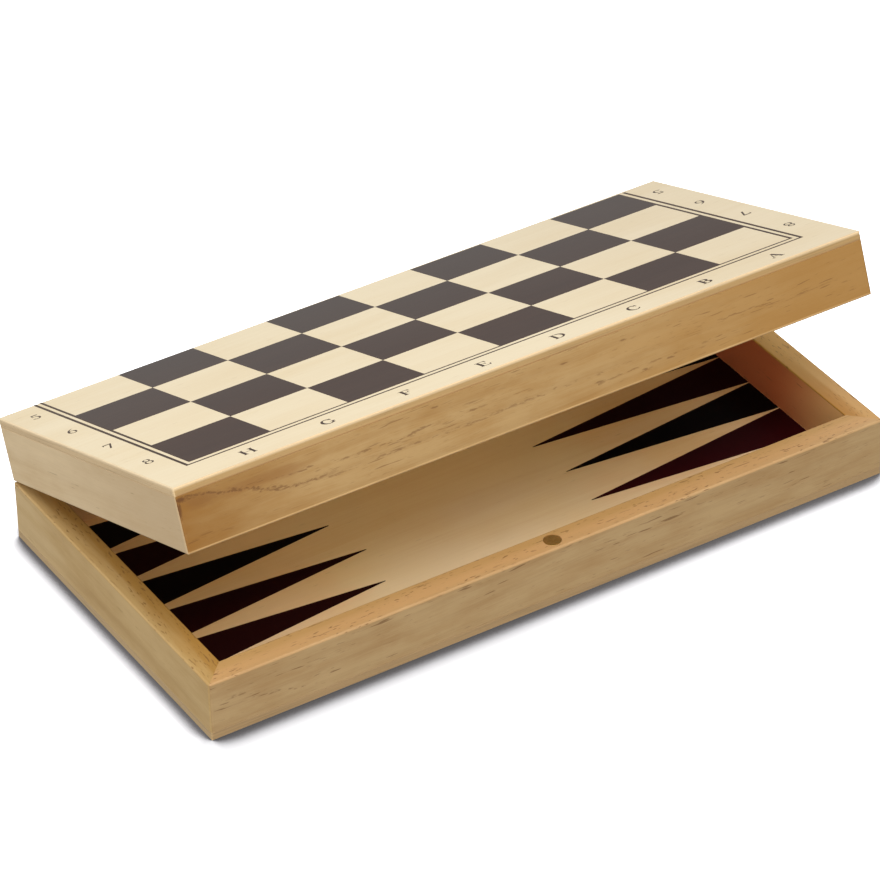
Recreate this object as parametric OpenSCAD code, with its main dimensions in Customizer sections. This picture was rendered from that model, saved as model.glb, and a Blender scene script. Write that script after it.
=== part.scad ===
// Folding wooden games box: two shallow trays hinged along one long side.
// Millimetres. +X runs along the hinge, +Y towards the hinge, +Z up.
// The origin is the centre of the lower tray's bottom face.

/* [Box] */
// Length of the box, along the hinge
box_l = 344; // [300:1:420]
// Depth of each half, from front to hinge
half_w = 172; // [150:1:210]
// Height of each half
half_h = 29.5; // [24:0.5:40]
// Thickness of the rails around each tray
rail_t = 12; // [11:0.5:16]
// Radius of the upright outer corners
corner_r = 1.2; // [0.6:0.1:3]
// Radius of the outer edge of each rim
rim_r = 1; // [0.4:0.1:1.5]
// Radius of the inner edge of each rim
rim_in_r = 0.5; // [0.2:0.1:0.8]

/* [Board] */
// Thickness of the board on each half, both face sheets included
board_t = 4; // [3:0.5:6]
// Thickness of each printed face sheet
face_t = 0.6; // [0.5:0.1:0.9]
// Radius of the board's outer edge
board_r = 0.5; // [0.2:0.1:0.5]
// Fine groove along the glue line between board and rails
glue_v = 0.18; // [0.1:0.02:0.3]

/* [Lid] */
// Angle at which the lid stands open
open_angle = 20.5; // [0:0.5:180]
// Gap between the two rims when the box is closed
rim_gap = 0.3; // [0.2:0.1:0.6]

/* [Hinges] */
// Distance of each hinge's middle from the box's middle
hinge_x = 105; // [60:1:115]
// Length of a hinge
hinge_l = 30; // [24:1:36]
// Depth of a hinge leaf on the rim, measured from the pin's axis
leaf_w = 9.6; // [9:0.1:10]
// Thickness of a hinge leaf
leaf_t = 1; // [0.8:0.1:1.2]
// Outer radius of the knuckles
knuckle_r = 2; // [1.8:0.1:2.2]
// Radius of the hinge pin
pin_r = 0.96; // [0.8:0.02:1]
// Play between the pin and the knuckles
pin_play = 0.04; // [0.02:0.01:0.08]
// Gap between neighbouring knuckles
knuckle_gap = 0.15; // [0.1:0.05:0.3]

/* [Screws] */
// Length of the hinge screws
screw_l = 9; // [6:1:12]
// Radius over the screw's thread
screw_r = 1.1; // [0.9:0.1:1.2]
// Radius of the screw's head
screw_head_r = 2; // [1.8:0.1:2.1]
// Distance of each screw from the hinge's middle
screw_x = 9; // [8:0.5:9]

/* [Catch] */
// Radius of the catch discs in the front rims
disc_r = 4; // [3:0.5:4.5]
// Thickness of the catch discs
disc_t = 4; // [2:0.5:6]
// How far the discs sit below the rim
disc_sink = 0.12; // [0.05:0.01:0.4]

/* [Hidden] */
$fn = 48;
eps = 0.01;

rail_h = half_h - board_t;          // height of a rail
core_t = board_t - 2 * face_t;      // thickness of the board's core
axis_y = half_w / 2 + rim_gap / 2;  // hinge axis, just behind the back faces
axis_z = half_h + rim_gap / 2;      // and midway between the two rims
groove_r = knuckle_r + 0.35;        // relief for the knuckles in the back rails
bore_r = pin_r + pin_play;
disc_x = 1.6;                       // discs sit near the middle of the front rims
disc_y = -half_w / 2 + rail_t / 2;
screw_y = -(groove_r + leaf_w) / 2; // screws sit in the middle of the flat of a leaf
knuckles = 5;
pitch = hinge_l / knuckles;

wood_pale = [0.86, 0.74, 0.52];
wood_gold = [0.78, 0.62, 0.38];
cream = [0.92, 0.86, 0.72];
brass = [0.72, 0.56, 0.27];
steel = [0.6, 0.57, 0.5];

// ---------------------------------------------------------------- placing

// Puts a half, drawn rim up on the table, upside down on top as the lid,
// and swings it open about the hinge axis.
module as_lid() {
    translate([0, axis_y, axis_z])
        rotate([-open_angle, 0, 0])
            translate([0, -axis_y, -axis_z])
                translate([0, 0, 2 * axis_z])
                    mirror([0, 0, 1])
                        children();
}

// ---------------------------------------------------------------- rails

// Material outside a quarter round of radius r in a square corner at [0, 0].
module round_off(r) {
    difference() {
        translate([-1, -1]) square([r + 1, r + 1]);
        translate([r, r]) circle(r = r);
    }
}

// Cross-section of a rail: outer face at x = 0, rim at the top.
module rail_section() {
    difference() {
        square([rail_t, rail_h]);
        translate([0, rail_h]) mirror([0, 1]) round_off(rim_r);
        translate([rail_t, rail_h]) rotate(180) round_off(rim_in_r);
        // one side of the fine groove along the glue line
        polygon([[-eps, -eps], [glue_v, -eps], [-eps, glue_v]]);
    }
}

// One straight rail with its outer face on y = 0, its middle at x = 0, its
// foot on the board, and 45 degree mitres at both ends.
module rail(len) {
    difference() {
        intersection() {
            translate([-len / 2, 0, board_t])
                rotate([90, 0, 90])
                    linear_extrude(height = len) rail_section();
            linear_extrude(height = half_h + 1)
                polygon([[-len / 2, 0], [len / 2, 0],
                         [len / 2 - rail_t, rail_t], [-len / 2 + rail_t, rail_t]]);
        }
        for (s = [-1, 1])
            scale([s, 1, 1])
                translate([-len / 2, 0, board_t - 1])
                    linear_extrude(height = rail_h + 2) round_off(corner_r);
    }
}

module front_rail() {
    difference() {
        translate([0, -half_w / 2, 0]) rail(box_l);
        // blind hole for the catch disc
        translate([disc_x, disc_y, half_h - disc_sink - disc_t - 0.05])
            cylinder(r = disc_r + 0.05, h = disc_t + disc_sink + 1);
    }
}

module side_rail(side) {
    scale([side, 1, 1])
        translate([box_l / 2, 0, 0])
            rotate([0, 0, 90])
                rail(half_w);
}

// The back rail carries the two hinges: a flat seat for each leaf, a round
// groove for the knuckles and two pilot holes.
module back_rail() {
    difference() {
        translate([0, half_w / 2, 0]) scale([1, -1, 1]) rail(box_l);
        for (s = [-1, 1])
            translate([s * hinge_x, axis_y, axis_z]) {
                translate([-hinge_l / 2 - 0.05, -leaf_w - 0.05, -rim_gap / 2 - leaf_t])
                    cube([hinge_l + 0.1, leaf_w + 1, leaf_t + 1]);
                translate([-hinge_l / 2 - 1, 0, 0])
                    rotate([0, 90, 0]) cylinder(r = groove_r, h = hinge_l + 2);
                for (x = [-screw_x, screw_x])
                    translate([x, screw_y, -rim_gap / 2 - screw_l - 0.4])
                        cylinder(r = screw_r + 0.03, h = screw_l);
            }
    }
}

// ---------------------------------------------------------------- board

// Plan of the board, with rounded corners.
module board_plan() {
    difference() {
        square([box_l, half_w], center = true);
        for (sx = [-1, 1], sy = [-1, 1])
            scale([sx, sy])
                translate([-box_l / 2, -half_w / 2]) round_off(corner_r);
    }
}

// A layer of the board between two heights.
module layer(z0, z1) {
    translate([0, 0, z0]) linear_extrude(height = z1 - z0) board_plan();
}

// The outer face sheet, with its edge eased all round.
module outer_sheet() {
    difference() {
        layer(0, face_t);
        for (s = [-1, 1]) {
            scale([1, s, 1])
                translate([-box_l / 2 - 1, -half_w / 2, 0])
                    rotate([90, 0, 90])
                        linear_extrude(height = box_l + 2) round_off(board_r);
            scale([s, 1, 1])
                translate([box_l / 2, -half_w / 2 - 1, 0])
                    rotate([90, 0, 180])
                        linear_extrude(height = half_w + 2) round_off(board_r);
        }
    }
}

// The inner face sheet, whose upper edge is the other side of the fine groove.
module inner_sheet() {
    c = glue_v;
    difference() {
        layer(board_t - face_t, board_t);
        for (s = [-1, 1]) {
            scale([1, s, 1])
                translate([-box_l / 2 - 1, -half_w / 2, board_t])
                    rotate([90, 0, 90])
                        linear_extrude(height = box_l + 2)
                            polygon([[-eps, eps], [c, eps], [-eps, -c]]);
            scale([s, 1, 1])
                translate([box_l / 2, -half_w / 2 - 1, board_t])
                    rotate([90, 0, 180])
                        linear_extrude(height = half_w + 2)
                            polygon([[-eps, eps], [c, eps], [-eps, -c]]);
        }
    }
}

// ---------------------------------------------------------------- catch

// A plain disc with eased edges, its face just below the rim.
module catch_disc() {
    e = 0.25;
    translate([disc_x, disc_y, half_h - disc_sink - disc_t])
        rotate_extrude()
            polygon([[0, 0], [disc_r - e, 0], [disc_r, e],
                     [disc_r, disc_t - e], [disc_r - e, disc_t], [0, disc_t]]);
}

// ---------------------------------------------------------------- hinges

// Span of knuckle i along the hinge.
function knuckle_from(i) = -hinge_l / 2 + i * pitch + (i == 0 ? 0 : knuckle_gap / 2);
function knuckle_to(i) = -hinge_l / 2 + (i + 1) * pitch - (i == knuckles - 1 ? 0 : knuckle_gap / 2);

// A leaf lying in its seat, in the hinge's own frame: pin axis along x
// through the origin, plate below it towards -y.
module leaf(own) {
    cr = 0.8;
    difference() {
        union() {
            // plate with its two free corners rounded
            translate([0, 0, -rim_gap / 2 - leaf_t])
                linear_extrude(height = leaf_t)
                    difference() {
                        translate([-hinge_l / 2, -leaf_w])
                            square([hinge_l, leaf_w - groove_r]);
                        for (s = [-1, 1])
                            scale([s, 1])
                                translate([-hinge_l / 2, -leaf_w]) round_off(cr);
                    }
            // tongues that run into this leaf's knuckles
            for (i = own)
                translate([knuckle_from(i), -groove_r - eps, -rim_gap / 2 - leaf_t])
                    cube([knuckle_to(i) - knuckle_from(i), groove_r + eps, leaf_t]);
            for (i = own)
                translate([knuckle_from(i), 0, 0])
                    rotate([0, 90, 0])
                        cylinder(r = knuckle_r, h = knuckle_to(i) - knuckle_from(i));
        }
        // bore for the pin
        translate([-hinge_l, 0, 0]) rotate([0, 90, 0]) cylinder(r = bore_r, h = 2 * hinge_l);
        // countersunk screw holes
        for (x = [-screw_x, screw_x])
            translate([x, screw_y, -rim_gap / 2]) {
                translate([0, 0, -leaf_t - 1]) cylinder(r = screw_r + 0.05, h = leaf_t + 2);
                translate([0, 0, -0.9])
                    cylinder(r1 = screw_r + 0.05, r2 = screw_head_r + 0.05, h = 0.8);
                translate([0, 0, -0.1]) cylinder(r = screw_head_r + 0.05, h = 1.1);
            }
    }
}

module at_hinge(side) {
    translate([side * hinge_x, axis_y, axis_z]) children();
}

// A countersunk wood screw, head at the top, with ridges for its thread and
// a cross recess.
module screw() {
    core = screw_r * 0.68;
    rings = 5;
    step = (screw_l - 3) / rings;
    thread = [for (k = [0 : rings - 1], p = [[core, 0], [screw_r, 0.35], [core, 0.7]])
              [p[0], -1.6 - k * step - p[1] * step]];
    difference() {
        rotate_extrude()
            polygon(concat(
                [[0, -0.06], [screw_head_r, -0.06], [screw_head_r, -0.1],
                 [screw_r, -0.9], [screw_r, -1.5]],
                thread,
                [[core, -screw_l + 1.3], [0.12, -screw_l], [0, -screw_l]]));
        for (a = [0, 90])
            rotate(a)
                translate([-1.15, -0.24, -0.62]) cube([2.3, 0.48, 1]);
    }
}

module screws_of_half() {
    for (s = [-1, 1])
        at_hinge(s)
            for (x = [-screw_x, screw_x])
                translate([x, screw_y, -rim_gap / 2])
                    rotate(17 * (s + 2) + 31 * (x > 0 ? 1 : 0)) screw();
}

// The pin, with a low peened head at each end.
module hinge_pin(side) {
    at_hinge(side)
        translate([-hinge_l / 2 - 0.55, 0, 0])
            rotate([0, 90, 0])
                rotate_extrude()
                    polygon([[0, 0], [pin_r * 0.9, 0], [pin_r + 0.45, 0.25], [pin_r + 0.45, 0.5],
                             [pin_r, 0.5], [pin_r, hinge_l + 0.6],
                             [pin_r + 0.45, hinge_l + 0.6], [pin_r + 0.45, hinge_l + 0.85],
                             [pin_r * 0.9, hinge_l + 1.1], [0, hinge_l + 1.1]]);
}

// ---------------------------------------------------------------- nodes

module lower_front_wall() { color(wood_gold) front_rail(); }
module lower_back_wall() { color(wood_gold) back_rail(); }
module lower_left_wall() { color(wood_pale) side_rail(-1); }
module lower_right_wall() { color(wood_pale) side_rail(1); }
module lower_panel_core() { color(wood_gold) layer(face_t, board_t - face_t); }
module lower_backgammon_face() { color(wood_pale) inner_sheet(); }
module lower_chess_face() { color(cream) outer_sheet(); }
module lower_magnet() { color(steel) catch_disc(); }
module left_hinge_lower_leaf() { color(brass) at_hinge(-1) leaf([0, 2, 4]); }
module right_hinge_lower_leaf() { color(brass) at_hinge(1) leaf([0, 2, 4]); }
module left_hinge_pin() { color(brass) hinge_pin(-1); }
module right_hinge_pin() { color(brass) hinge_pin(1); }
module lower_hinge_screws() { color(brass) screws_of_half(); }

module lid_front_wall() { color(wood_gold) as_lid() front_rail(); }
module lid_back_wall() { color(wood_gold) as_lid() back_rail(); }
module lid_left_wall() { color(wood_pale) as_lid() side_rail(-1); }
module lid_right_wall() { color(wood_pale) as_lid() side_rail(1); }
module lid_panel_core() { color(wood_gold) as_lid() layer(face_t, board_t - face_t); }
module lid_backgammon_face() { color(wood_pale) as_lid() inner_sheet(); }
module lid_chess_face() { color(cream) as_lid() outer_sheet(); }
module lid_magnet() { color(steel) as_lid() catch_disc(); }
module left_hinge_lid_leaf() { color(brass) as_lid() at_hinge(-1) leaf([1, 3]); }
module right_hinge_lid_leaf() { color(brass) as_lid() at_hinge(1) leaf([1, 3]); }
module lid_hinge_screws() { color(brass) as_lid() screws_of_half(); }

lower_front_wall();
lower_back_wall();
lower_left_wall();
lower_right_wall();
lower_panel_core();
lower_backgammon_face();
lower_chess_face();
lower_magnet();
left_hinge_lower_leaf();
right_hinge_lower_leaf();
left_hinge_pin();
right_hinge_pin();
lower_hinge_screws();
lid_front_wall();
lid_back_wall();
lid_left_wall();
lid_right_wall();
lid_panel_core();
lid_backgammon_face();
lid_chess_face();
lid_magnet();
left_hinge_lid_leaf();
right_hinge_lid_leaf();
lid_hinge_screws();
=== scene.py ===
import math

import bmesh
import bpy
from mathutils import Matrix, Vector
from mathutils.geometry import delaunay_2d_cdt


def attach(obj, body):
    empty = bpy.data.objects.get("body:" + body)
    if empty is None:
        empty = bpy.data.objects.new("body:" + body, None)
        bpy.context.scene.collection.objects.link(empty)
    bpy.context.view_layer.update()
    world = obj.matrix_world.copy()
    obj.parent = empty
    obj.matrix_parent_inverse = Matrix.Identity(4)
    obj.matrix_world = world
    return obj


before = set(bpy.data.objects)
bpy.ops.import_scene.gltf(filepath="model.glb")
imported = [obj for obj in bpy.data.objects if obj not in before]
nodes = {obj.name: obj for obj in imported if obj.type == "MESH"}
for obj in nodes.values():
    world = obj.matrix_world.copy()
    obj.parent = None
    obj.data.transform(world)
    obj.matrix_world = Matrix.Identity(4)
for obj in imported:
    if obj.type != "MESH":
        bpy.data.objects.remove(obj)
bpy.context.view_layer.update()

# Metres, in the CAD part's frame. A "half" below is one tray of the box drawn
# in its own frame: rim up, origin in the middle of the board's outer face.
MM = 0.001

HALF_W = 172.0
HALF_L = 172.0
BOARD_T = 4.0
AXIS = Vector((0, 86.15, 29.65)) * MM
OPEN = math.radians(-20.5)

LOWER = Matrix.Identity(4)
LID = (
    Matrix.Translation(AXIS)
    @ Matrix.Rotation(OPEN, 4, "X")
    @ Matrix.Translation(-AXIS)
    @ Matrix.Translation((0, 0, 2 * AXIS.z))
    @ Matrix.Rotation(math.pi, 4, "Y")
)
HALVES = {"lower": LOWER, "lid": LID}


# ------------------------------------------------------------------ materials

def lin(r, g, b):
    """A colour given on the usual 0-255 scale, as scene-linear RGBA."""
    def one(v):
        v /= 255.0
        return v / 12.92 if v <= 0.04045 else ((v + 0.055) / 1.055) ** 2.4
    return (one(r), one(g), one(b), 1.0)


class Look:
    """A node material under construction."""

    def __init__(self, name):
        self.mat = bpy.data.materials.new(name)
        self.mat.use_nodes = True
        self.tree = self.mat.node_tree
        self.tree.nodes.clear()
        self.out = self.tree.nodes.new("ShaderNodeOutputMaterial")
        self.bsdf = self.tree.nodes.new("ShaderNodeBsdfPrincipled")
        self.tree.links.new(self.bsdf.outputs[0], self.out.inputs["Surface"])

    def put(self, socket, value):
        if isinstance(value, bpy.types.NodeSocket):
            self.tree.links.new(value, socket)
        elif value is not None:
            socket.default_value = value

    def add(self, kind, **props):
        n = self.tree.nodes.new(kind)
        for k, v in props.items():
            setattr(n, k, v)
        return n

    def math(self, op, a, b=None, c=None, clamp=False):
        n = self.add("ShaderNodeMath", operation=op, use_clamp=clamp)
        for s, v in zip(n.inputs, (a, b, c)):
            self.put(s, v)
        return n.outputs[0]

    def vec(self, op, a, b=None):
        n = self.add("ShaderNodeVectorMath", operation=op)
        self.put(n.inputs[0], a)
        if b is not None:
            self.put(n.inputs[1], b)
        return n.outputs["Value"] if op in ("LENGTH", "DISTANCE") else n.outputs[0]

    def map(self, v, scale=(1, 1, 1), turn=(0, 0, 0), shift=(0, 0, 0)):
        n = self.add("ShaderNodeMapping", vector_type="POINT")
        self.put(n.inputs["Vector"], v)
        n.inputs["Location"].default_value = shift
        n.inputs["Rotation"].default_value = turn
        n.inputs["Scale"].default_value = scale
        return n.outputs[0]

    def noise(self, v, detail=2.0, rough=0.5, warp=0.0, scale=1.0, colour=False):
        n = self.add("ShaderNodeTexNoise", noise_dimensions="3D")
        self.put(n.inputs["Vector"], v)
        n.inputs["Scale"].default_value = scale
        n.inputs["Detail"].default_value = detail
        n.inputs["Roughness"].default_value = rough
        n.inputs["Distortion"].default_value = warp
        return n.outputs["Color"] if colour else n.outputs[0]

    def cells(self, v):
        n = self.add("ShaderNodeTexVoronoi", voronoi_dimensions="3D", feature="F1")
        self.put(n.inputs["Vector"], v)
        n.inputs["Scale"].default_value = 1.0
        n.inputs["Randomness"].default_value = 1.0
        s = self.add("ShaderNodeSeparateColor")
        self.put(s.inputs[0], n.outputs["Color"])
        return n.outputs["Distance"], s.outputs[0], s.outputs[1]

    def fit(self, v, a, b, c=0.0, d=1.0, smooth=False):
        n = self.add(
            "ShaderNodeMapRange", clamp=True,
            interpolation_type="SMOOTHSTEP" if smooth else "LINEAR",
        )
        self.put(n.inputs["Value"], v)
        for k, x in zip(("From Min", "From Max", "To Min", "To Max"), (a, b, c, d)):
            self.put(n.inputs[k], x)
        return n.outputs[0]

    def mix(self, f, a, b, blend="MIX"):
        n = self.add("ShaderNodeMix", data_type="RGBA", blend_type=blend, clamp_factor=True)
        self.put(n.inputs[0], f)
        self.put(n.inputs[6], a)
        self.put(n.inputs[7], b)
        return n.outputs[2]

    def ramp(self, f, stops):
        n = self.add("ShaderNodeValToRGB")
        self.put(n.inputs[0], f)
        e = n.color_ramp.elements
        while len(e) < len(stops):
            e.new(0.5)
        for x, (p, c) in zip(e, stops):
            x.position = p
            x.color = c if len(c) == 4 else (*c, 1)
        return n.outputs[0]

    def split(self, v):
        n = self.add("ShaderNodeSeparateXYZ")
        self.put(n.inputs[0], v)
        return n.outputs[0], n.outputs[1], n.outputs[2]

    def bump(self, height, metres, strength=1.0, below=None):
        n = self.add("ShaderNodeBump")
        n.inputs["Strength"].default_value = strength
        n.inputs["Distance"].default_value = metres
        self.put(n.inputs["Height"], height)
        if below is not None:
            self.put(n.inputs["Normal"], below)
        return n.outputs[0]

    def place(self, half):
        """Where the surface is, in millimetres in its half's own frame."""
        v = self.add("ShaderNodeTexCoord").outputs["Object"]
        if half == "lid-cad":
            at, turn, _ = LID.inverted().decompose()
            v = self.map(v, turn=tuple(turn.to_euler("XYZ")), shift=tuple(at))
        return self.map(v, scale=(1000, 1000, 1000))


def dashes(g, q, length, width, keep, size=(0.16, 0.30), ragged=0.10):
    """Short dark marks along the grain: q in mm with the grain along x."""
    cell = g.map(q, scale=(1 / length, 1 / width, 1 / width))
    d, r1, r2 = g.cells(cell)
    if ragged:
        n = g.noise(g.map(q, scale=(1 / 2.2, 1 / 0.5, 1 / 0.5)), detail=1)
        d = g.math("ADD", d, g.math("MULTIPLY", g.math("SUBTRACT", n, 0.5), ragged * 2))
    inside = g.fit(d, size[0], size[1], 1, 0, smooth=True)
    there = g.math("LESS_THAN", r1, keep)
    return g.math("MULTIPLY", g.math("MULTIPLY", inside, there), g.fit(r2, 0, 1, 0.45, 1))


def vessels(g, q, length, width, at, soft, gate, shift=(0, 0, 0)):
    """Fine broken streaks along the grain, more of them where gate is high."""
    n = g.noise(g.map(q, scale=(1 / length, 1 / width, 1 / width), shift=shift), detail=1.4, rough=0.45)
    return g.fit(g.math("ADD", n, gate), at, at + soft, 0, 1, smooth=True)


def lit(rgb, gain):
    r, g, b, _ = lin(*(min(255.0, x) for x in rgb))
    return (min(1, r * gain[0]), min(1, g * gain[1]), min(1, b * gain[2]), 1.0)


def wood(
    name, half, along="x", seed=0.0, pale=(214, 186, 138), gold=(196, 157, 100),
    brown=(128, 88, 44), fine=0.665, long_=0.70, depth=0.6, ring=0.3,
    ring_mm=7.0, pith=(40.0, 60.0), tilt=(0.004, 0.006), streak=0.5, features=(),
    rough=0.5, coat=0.05, seen=0.0, gain=(1, 1, 1), inner=None, blot=1.2, corner_shade=0.2,
):
    """Planed light wood with fine vessels, under a thin satin lacquer."""
    g = Look(name)
    p = g.place(half)
    turn = 0.0 if along == "x" else -math.pi / 2
    q0 = g.map(p, turn=(0, 0, turn + seen))
    q = g.map(p, turn=(tilt[0], tilt[1], turn + tilt[1] * 0.5), shift=(seed * 517.0, seed * 91.3, seed * 57.7))
    # the grain wanders slowly along the rail
    w = g.noise(g.map(q, scale=(1 / 150, 1 / 26, 1 / 26)), detail=2, colour=True)
    w = g.vec("MULTIPLY", g.vec("SUBTRACT", w, (0.5, 0.5, 0.5)), (0, 9.0, 9.0))
    qw = g.vec("ADD", q, w)
    # year rings seen along the rail
    c = g.vec("MULTIPLY", g.vec("ADD", qw, (0, pith[0] - seed * 91.3, pith[1] - seed * 57.7)), (0, 1, 1))
    r = g.vec("LENGTH", c)
    phase = g.math("FRACT", g.math("DIVIDE", r, ring_mm))
    late = g.ramp(phase, [(0.0, (0.05,) * 3), (0.55, (0.25,) * 3), (0.86, (1,) * 3), (0.95, (0.5,) * 3), (1.0, (0.05,) * 3)])
    # fibre, streaks and slow patches of tone
    fibre = g.noise(g.map(qw, scale=(1 / 22, 1 / 0.34, 1 / 0.34)), detail=3, rough=0.6)
    lines = g.noise(g.map(qw, scale=(1 / 85, 1 / 1.5, 1 / 1.5)), detail=4, rough=0.6)
    bands = g.noise(g.map(qw, scale=(1 / 130, 1 / 6.5, 1 / 6.5)), detail=3, rough=0.55)
    cloud = g.noise(g.map(q, scale=(1 / 38, 1 / 15, 1 / 15)), detail=4, rough=0.6)
    tone = g.math("MULTIPLY", g.math("SUBTRACT", bands, 0.5), 1.4 * streak)
    tone = g.math("ADD", tone, g.math("MULTIPLY", g.math("SUBTRACT", lines, 0.5), 1.0 * streak))
    tone = g.math("ADD", tone, g.math("MULTIPLY", g.math("SUBTRACT", cloud, 0.5), blot))
    tone = g.math("ADD", tone, g.math("MULTIPLY", g.math("SUBTRACT", fibre, 0.5), 0.5))
    tone = g.math("ADD", tone, 0.5, clamp=True)
    mid = tuple((a + b) / 2 for a, b in zip(pale, gold))
    deep = tuple(x * 0.86 for x in gold)
    bright = tuple(x * 1.04 for x in pale)
    col = g.ramp(tone, [(0.0, lit(bright, gain)), (0.38, lit(pale, gain)), (0.62, lit(mid, gain)), (0.88, lit(gold, gain)), (1.0, lit(deep, gain))])
    col = g.mix(g.math("MULTIPLY", late, ring), col, lit(tuple(0.5 * a + 0.5 * b for a, b in zip(gold, brown)), gain))
    # vessels gather in bands, so a slow noise opens and shuts them
    gather = g.noise(g.map(qw, scale=(1 / 55, 1 / 4.2, 1 / 4.2), shift=(31, 7, 5)), detail=2)
    gate = g.fit(gather, 0.34, 0.68, -0.09, 0.05)
    a_ = vessels(g, qw, 5.5, 0.66, fine, 0.09, gate)
    b_ = vessels(g, qw, 13.0, 0.95, long_, 0.06, gate, shift=(5.3, 2.1, 8.8))
    marks = g.math("MAXIMUM", g.math("MULTIPLY", a_, 0.5 * depth), g.math("MULTIPLY", b_, depth))
    # painted shade: the upright corners are painted a little darker, to hold down the highlight they catch
    x, y, z = g.split(p)
    corner = g.math("MINIMUM", g.math("SUBTRACT", g.math("ABSOLUTE", x), 171.1), g.math("SUBTRACT", g.math("ABSOLUTE", y), 85.1))
    col = g.mix(g.fit(corner, 0.0, 0.45, 0, corner_shade, smooth=True), col, lit(tuple(0.8 * a for a in gold), gain))
    if inner:
        # painted shade and bounce light: faces that look into the tray are painted darker and warmer, in the colour of
        # the light thrown on them by the wood and print around them
        y0, y1, tint, amount = inner
        x, y, z = g.split(q0)
        f = g.math("MULTIPLY", g.fit(y, y0, y1, 0, amount, smooth=True), g.math("LESS_THAN", z, 28.6))
        col = g.mix(f, col, lit(tint, gain))
    for feature in features:
        m = feature(g, q0, qw)
        if m[0] == "tint":
            col = g.mix(m[1], col, m[2])
        else:
            marks = g.math("MAXIMUM", marks, m[1])
    col = g.mix(marks, col, lit(brown, gain))
    g.put(g.bsdf.inputs["Base Color"], col)
    ro = g.math("ADD", rough - 0.05, g.math("MULTIPLY", fibre, 0.14))
    ro = g.math("ADD", ro, g.math("MULTIPLY", marks, 0.16), clamp=True)
    g.put(g.bsdf.inputs["Roughness"], ro)
    h = g.math("SUBTRACT", g.math("MULTIPLY", fibre, 0.5), g.math("MULTIPLY", marks, 0.9))
    h = g.math("ADD", h, g.math("MULTIPLY", lines, 0.25))
    g.put(g.bsdf.inputs["Normal"], g.bump(h, 0.00006, 0.7))
    g.bsdf.inputs["Coat Weight"].default_value = coat
    g.bsdf.inputs["Coat Roughness"].default_value = 0.3
    g.bsdf.inputs["Specular IOR Level"].default_value = 0.45
    return g.mat


def edge_wood(g, p, ends, front):
    """The colour of the board where it is cut: ends on the short sides, front
    along the long ones. Returns it and a mask of the cut faces."""
    x, y, z = g.split(p)
    ax_, ay_ = g.math("ABSOLUTE", x), g.math("ABSOLUTE", y)
    run = g.noise(g.map(p, scale=(1 / 40, 1 / 40, 1 / 1.2), shift=(9, 4, 2)), detail=3)
    line = g.noise(g.map(p, scale=(1 / 60, 1 / 60, 1 / 0.3), shift=(3, 8, 1)), detail=2)
    t = g.math("ADD", g.math("MULTIPLY", run, 0.6), g.math("MULTIPLY", line, 0.4))
    def two(c):
        return g.ramp(t, [(0.34, lin(*(min(255, v * 1.05) for v in c))), (0.52, lin(*c)), (0.68, lin(*(v * 0.9 for v in c)))])
    col = g.mix(g.fit(ax_, 171.3, 171.6), two(front), two(ends))
    cut = g.math("MAXIMUM", g.math("SUBTRACT", ax_, 171.5), g.math("SUBTRACT", ay_, 85.5))
    return col, g.fit(cut, -0.55, 0.42, 0, 1, smooth=True), t, z


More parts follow.
